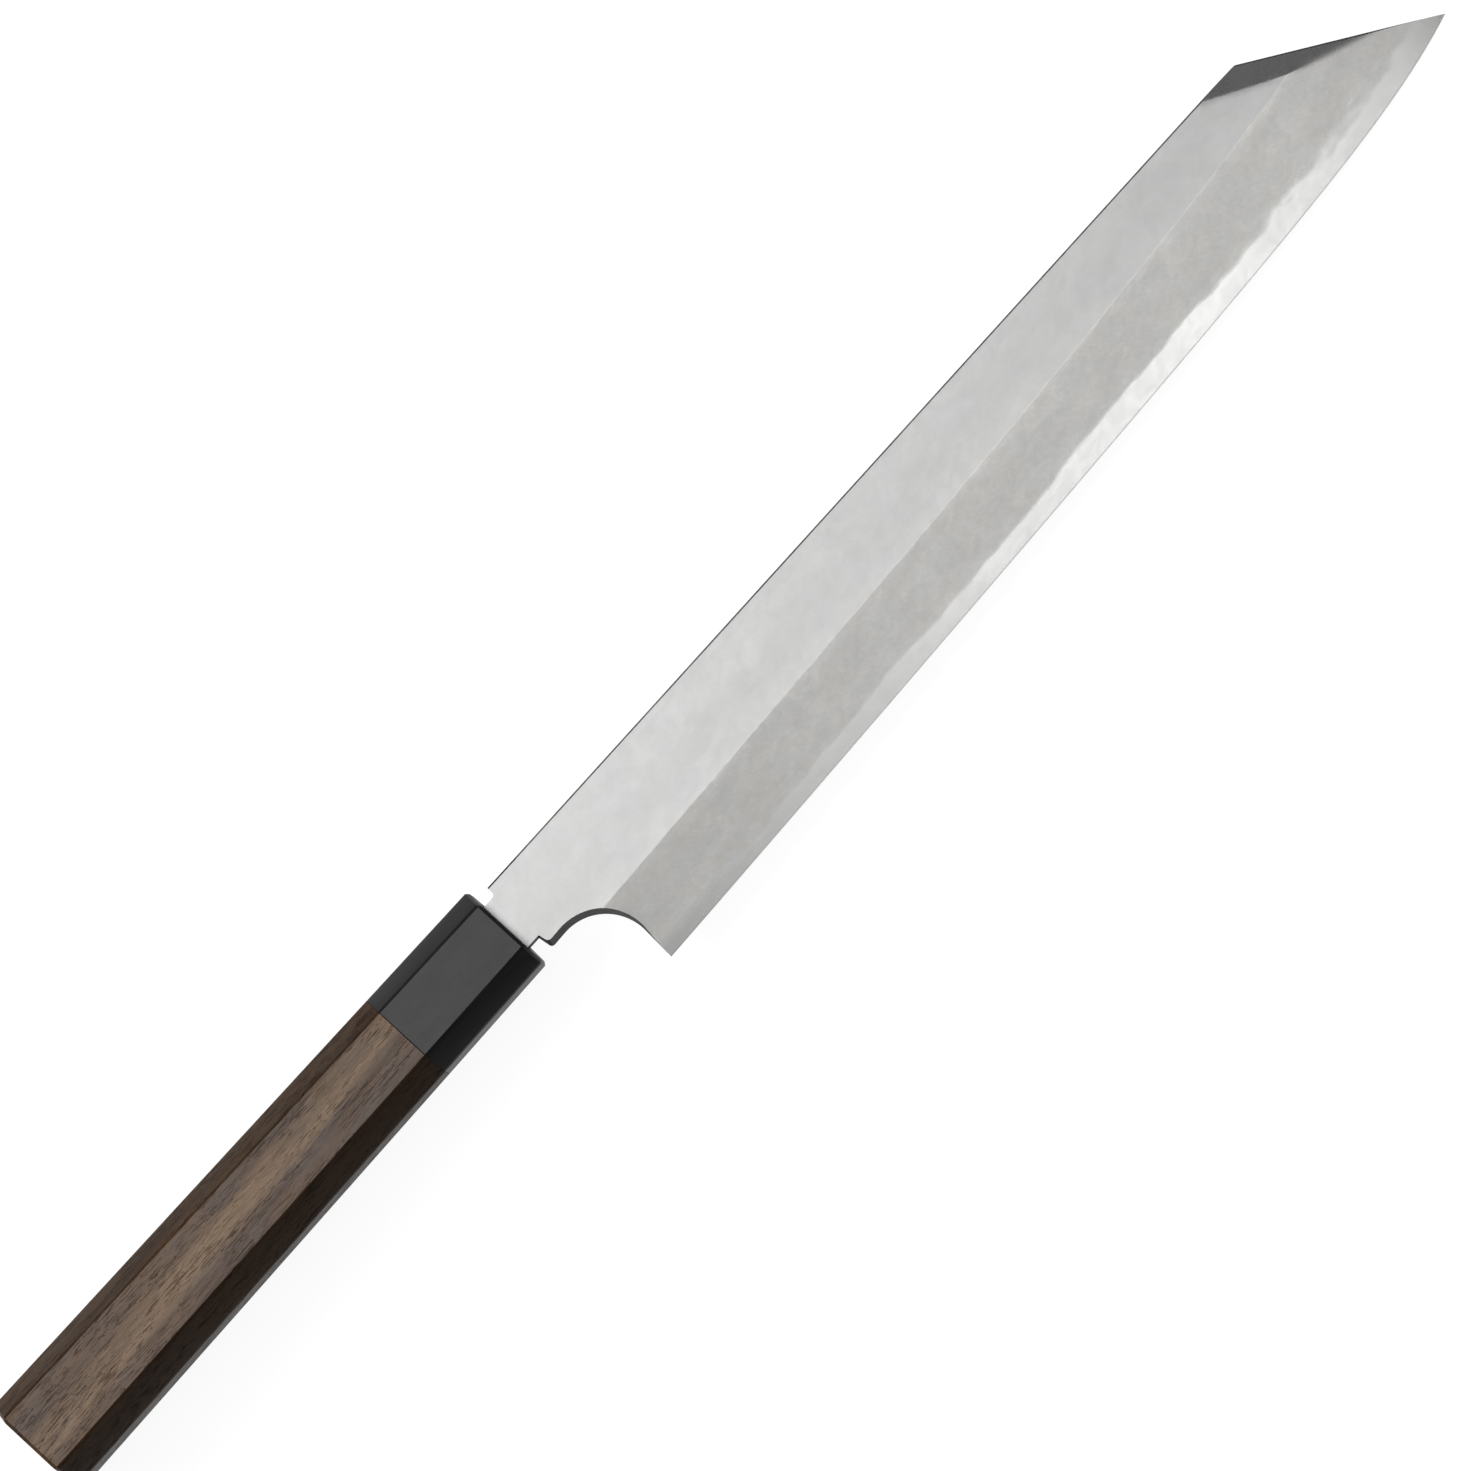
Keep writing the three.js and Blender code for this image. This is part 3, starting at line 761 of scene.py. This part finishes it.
handle = {
    "patterns": {              # noise spots in metres, and the degrees that they are turned
        "bands": {"size": (0.06, 0.0038, 0.005), "turn": 3.2, "detail": 4, "rough": 0.58, "twist": 0.4},
        "drift": {"size": (0.022, 0.0055, 0.0055), "turn": 3.2, "detail": 4, "rough": 0.6, "twist": 0.5},
        "smudge": {"size": (0.0075, 0.0011, 0.0011), "turn": 0.2, "detail": 3, "rough": 0.6, "twist": 0.3},
        "fibres": {"size": (0.007, 0.0003, 0.0003), "turn": 3.2, "detail": 3, "rough": 0.6},
        "crowd": {"size": (0.016, 0.0026, 0.0026), "turn": 3.2},
        "dashes": {"size": (0.004, 0.00026, 0.00026), "turn": 0.2, "detail": 1},
        "pits": {"size": (0.0013, 0.00024, 0.00024), "turn": -0.8, "detail": 1},
        "layers": {"size": (0.04, 0.0022, 0.0035), "turn": -3, "detail": 4, "rough": 0.6, "twist": 0.7},
        "haze": {"size": (0.006, 0.004, 0.004), "detail": 4, "rough": 0.62},
        "hairs": {"size": (0.012, 0.00018, 0.00018), "turn": 2},
        "swirl": {"size": (0.003, 0.003, 0.003), "detail": 3, "twist": 1.2},
    },

    # wood: its tones, the gloss, roughness and shade of each side, and what each pattern is stretched to;
    # the shade of the narrow sides and the chamfers is painted shade, for the less light that falls on
    # them
    "woodDark": (0.053, 0.032, 0.023),
    "woodMid": (0.105, 0.064, 0.039),
    "woodTan": (0.2, 0.131, 0.079),
    "woodMauve": (0.087, 0.062, 0.05),
    "woodPore": (0.02, 0.011, 0.007),
    "woodFlat": (0.46, 0.29, (1, 1, 1)),
    # painted shade: the narrow sides and the chamfers are darker copies of the flats' wood
    "woodSide": (0.32, 0.5, (0.38, 0.365, 0.335)),
    "woodChamfer": (0.12, 0.5, (0.37, 0.31, 0.22)),
    "bandSpan": (0.36, 0.6),
    "mauveShare": (0.46, 0.6, 0, 0.8),
    "grainTurn": 3.2,          # degrees that the grain runs off the handle's line
    "tanPlace": 0.0175,        # metres across the grain, through the middle of the grip
    "tanWander": 0.0012,
    "tanShare": (0.0036, 0.0006, 0, 0.85),
    "tanBreaks": (0.32, 0.52, 0.45, 1),
    "smudgeShade": (0.5, 0.68, 1.04, 0.8),
    "fibreShade": (0.84, 1.16),
    "poreCrowd": (0.38, 0.56, 0.25, 1),
    "dashShare": (0.54, 0.62, 0, 0.64),
    "pitShare": (0.65, 0.7, 0, 0.8),
    "woodSway": (-0.03, 0.04),
    "poreRough": 0.45,
    "fibreHeight": 0.3,
    "woodDepth": 1.6e-5,
    "dowelDark": (0.42, 0.29, 0.17),
    "dowelPale": (0.6, 0.45, 0.29),
    "dowelFinish": (0.2, 0.55, (1, 1, 1)),

    # horn, with the gloss and roughness of each side, and resin
    "hornDark": (0.006, 0.006, 0.0065),
    "hornPale": (0.011, 0.0105, 0.0105),
    "hornFlat": (0.68, 0.27),
    "hornSide": (0.24, 0.42),
    "hornChamfer": (0.16, 0.42),
    "layerSpan": (0.4, 0.66),
    "hornSway": (-0.02, 0.03),
    "hairSway": 0.01,
    "hornDepth": 2e-7,
    "sealDark": (0.03, 0.022, 0.016),
    "sealPale": (0.05, 0.038, 0.026),
    "sealGloss": 0.5,
    "sealRough": (0.3, 0.42),
    "sealDepth": 3e-5,

    # shape, in metres and degrees
    "straight": 0.97,          # how closely a face has to look along a direction to count for it
    "bore": 0.0085,            # from the axis, outside every bore
    "flatWithin": 0.1,
    "arrisTurn": 12,
    "ease": 0.00012,
    "easeSegments": 2,
    "sharp": 32,
    "crown": 0.00009,          # how far a chamfer swells between its arrises
    "crownCuts": 5,
    "crownMargin": 0.02,       # part of the chamfer's width, by its arrises, that stays put
}


def grained(tree, name):
    return noise(tree, **handle["patterns"][name])


def woodFinish(name, tones, gloss, dull, shade):
    # streaky wood: bands, mauve drifts, one pale streak, fuzzy smudges, fibres and open pores, with its
    # tones darkened by painted shade on the handle's sides and chamfers
    finish, tree, shader = newFinish(name, {"Specular IOR Level": gloss})
    # painted shade: the tones darkened for the sides and chamfers
    dark, mid, tan, mauve, pore = (tuple(v * w for v, w in zip(tone, shade)) for tone in tones)
    bands = grained(tree, "bands")
    drift = grained(tree, "drift")
    fibres = grained(tree, "fibres")
    colour = mixed(tree, between(tree, bands, *handle["bandSpan"]), dark, mid)
    colour = mixed(tree, between(tree, drift, *handle["mauveShare"]), colour, mauve)
    wander = swing(tree, drift, -handle["tanWander"], handle["tanWander"])
    place = sums(tree, "ADD", axisOf(tree, "Y", handle["grainTurn"]), wander)
    fromTan = sums(tree, "ABSOLUTE", sums(tree, "SUBTRACT", place, handle["tanPlace"]))
    streak = between(tree, fromTan, *handle["tanShare"])
    streak = sums(tree, "MULTIPLY", streak, between(tree, bands, *handle["tanBreaks"]))
    colour = mixed(tree, streak, colour, tan)
    colour = shaded(tree, colour, between(tree, grained(tree, "smudge"), *handle["smudgeShade"]),
                    swing(tree, fibres, *handle["fibreShade"]))
    crowd = between(tree, grained(tree, "crowd"), *handle["poreCrowd"])
    dashes = between(tree, grained(tree, "dashes"), *handle["dashShare"])
    pits = between(tree, grained(tree, "pits"), *handle["pitShare"])
    pores = sums(tree, "MULTIPLY", sums(tree, "MAXIMUM", dashes, pits), crowd)
    feed(tree, shader.inputs["Base Color"], mixed(tree, pores, colour, pore))
    sway = swing(tree, fibres, *(dull + step for step in handle["woodSway"]))
    rough = sums(tree, "ADD", sway, sums(tree, "MULTIPLY", pores, handle["poreRough"]))
    feed(tree, shader.inputs["Roughness"], rough)
    height = sums(tree, "SUBTRACT", sums(tree, "MULTIPLY", fibres, handle["fibreHeight"]), pores)
    bumpy(tree, shader, height, handle["woodDepth"])
    return finish


def hornFinish(name, gloss, dull):
    # polished horn: nearly black, with faint lengthwise layers and a little stone haze
    finish, tree, shader = newFinish(name, {"Specular IOR Level": gloss})
    layers = between(tree, grained(tree, "layers"), *handle["layerSpan"])
    haze = grained(tree, "haze")
    hairs = grained(tree, "hairs")
    feed(tree, shader.inputs["Base Color"], mixed(tree, layers, handle["hornDark"], handle["hornPale"]))
    sway = swing(tree, haze, *(dull + step for step in handle["hornSway"]))
    rough = sums(tree, "ADD", sway, swing(tree, hairs, -handle["hairSway"], handle["hairSway"]))
    feed(tree, shader.inputs["Roughness"], rough)
    bumpy(tree, shader, sums(tree, "ADD", hairs, haze), handle["hornDepth"])
    return finish


def sealFinish():
    finish, tree, shader = newFinish("dark_resin", {"Specular IOR Level": handle["sealGloss"]})
    swirl = grained(tree, "swirl")
    feed(tree, shader.inputs["Base Color"], mixed(tree, swirl, handle["sealDark"], handle["sealPale"]))
    feed(tree, shader.inputs["Roughness"], swing(tree, swirl, *handle["sealRough"]))
    bumpy(tree, shader, swirl, handle["sealDepth"])
    return finish


def outerArris(ends, turn, kinds):
    # an edge on the outside of the handle, where two faces turn
    away = min(math.hypot(p.y - handleAxis[0], p.z - handleAxis[1]) for p in ends)
    return turn > handle["arrisTurn"] and away > handle["bore"]


def crownChamfer(piece, signY, signZ):
    # cuts one long chamfer lengthwise and lets it swell a little between its arrises
    mesh = piece.data
    axisY, axisZ = handleAxis
    outward = Vector((0, signY, signZ)).normalized()

    def isChamfer(face):
        outside = (face.center.yz - Vector(handleAxis)).length > handle["bore"]
        return outside and face.normal.dot(outward) > handle["straight"]

    def corners():
        return {i for face in mesh.polygons if isChamfer(face) for i in face.vertices}

    def angleOf(i):
        point = mesh.vertices[i].co
        return math.atan2((point.z - axisZ) * signZ, (point.y - axisY) * signY)

    angles = [angleOf(i) for i in corners()]
    low = max(angle for angle in angles if angle < math.pi / 4)
    high = min(angle for angle in angles if angle > math.pi / 4)
    cuts = handle["crownCuts"]
    for cut in range(cuts):
        angle = low + (high - low) * (cut + 1) / (cuts + 1)
        aside = (0, -math.sin(angle) * signY, math.cos(angle) * signZ)
        pickParts(piece, "polygons", isChamfer)
        bpy.ops.mesh.bisect(plane_co=(0, axisY, axisZ), plane_no=aside)
        bpy.ops.object.mode_set(mode="OBJECT")
    margin = handle["crownMargin"]
    for i in corners():
        share = (angleOf(i) - low) / (high - low)
        if margin < share < 1 - margin:
            mesh.vertices[i].co += outward * handle["crown"] * 4 * share * (1 - share)


def handleSide(face):
    # 0 for the wide flats, 1 for the narrow sides, 2 for the chamfers and the ends
    if abs(face.normal.z) > handle["straight"]:
        return 0
    return 1 if abs(face.normal.y) > handle["straight"] else 2


def dressHandle():
    tones = [handle["wood" + tone] for tone in ("Dark", "Mid", "Tan", "Mauve", "Pore")]
    kinds = "Flat", "Side", "Chamfer"
    # wood_side and wood_chamfer carry the painted shade of the handle's sides
    wood = [woodFinish("wood_" + kind.lower(), tones, *handle["wood" + kind]) for kind in kinds]
    horn = [hornFinish("horn_" + kind.lower(), *handle["horn" + kind]) for kind in kinds]
    for nodeName, pieceName, slotName, finishes in (
        ("handle_grip", "grip_wood", "dark_wood", wood),
        ("ferrule", "ferrule_horn", "black_horn", horn),
    ):
        piece = copyNode(nodeName, pieceName)
        wholeFaces(piece, handle["flatWithin"])
        for signY, signZ in ((1, 1), (1, -1), (-1, 1), (-1, -1)):
            crownChamfer(piece, signY, signZ)
        roundEdges(piece, outerArris, handle["ease"], handle["easeSegments"])
        giveFinishes(piece, finishes, handleSide)
        flatShade(piece, handle["sharp"])
        standFor(piece, nodeName)
        print(pieceName, len(piece.data.polygons), "faces")
    pale = [handle["dowel" + tone] for tone in ("Dark", "Pale", "Pale", "Pale", "Dark")]
    plain = woodFinish("dowel_plain", pale, *handle["dowelFinish"])
    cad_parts["handle_dowel"].material_slots[0].material = plain
    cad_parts["tang_seal"].material_slots[0].material = sealFinish()
    print("dowel and seal given their finishes")


dressHandle()


scene = bpy.context.scene
scene.view_settings.view_transform = "Standard"
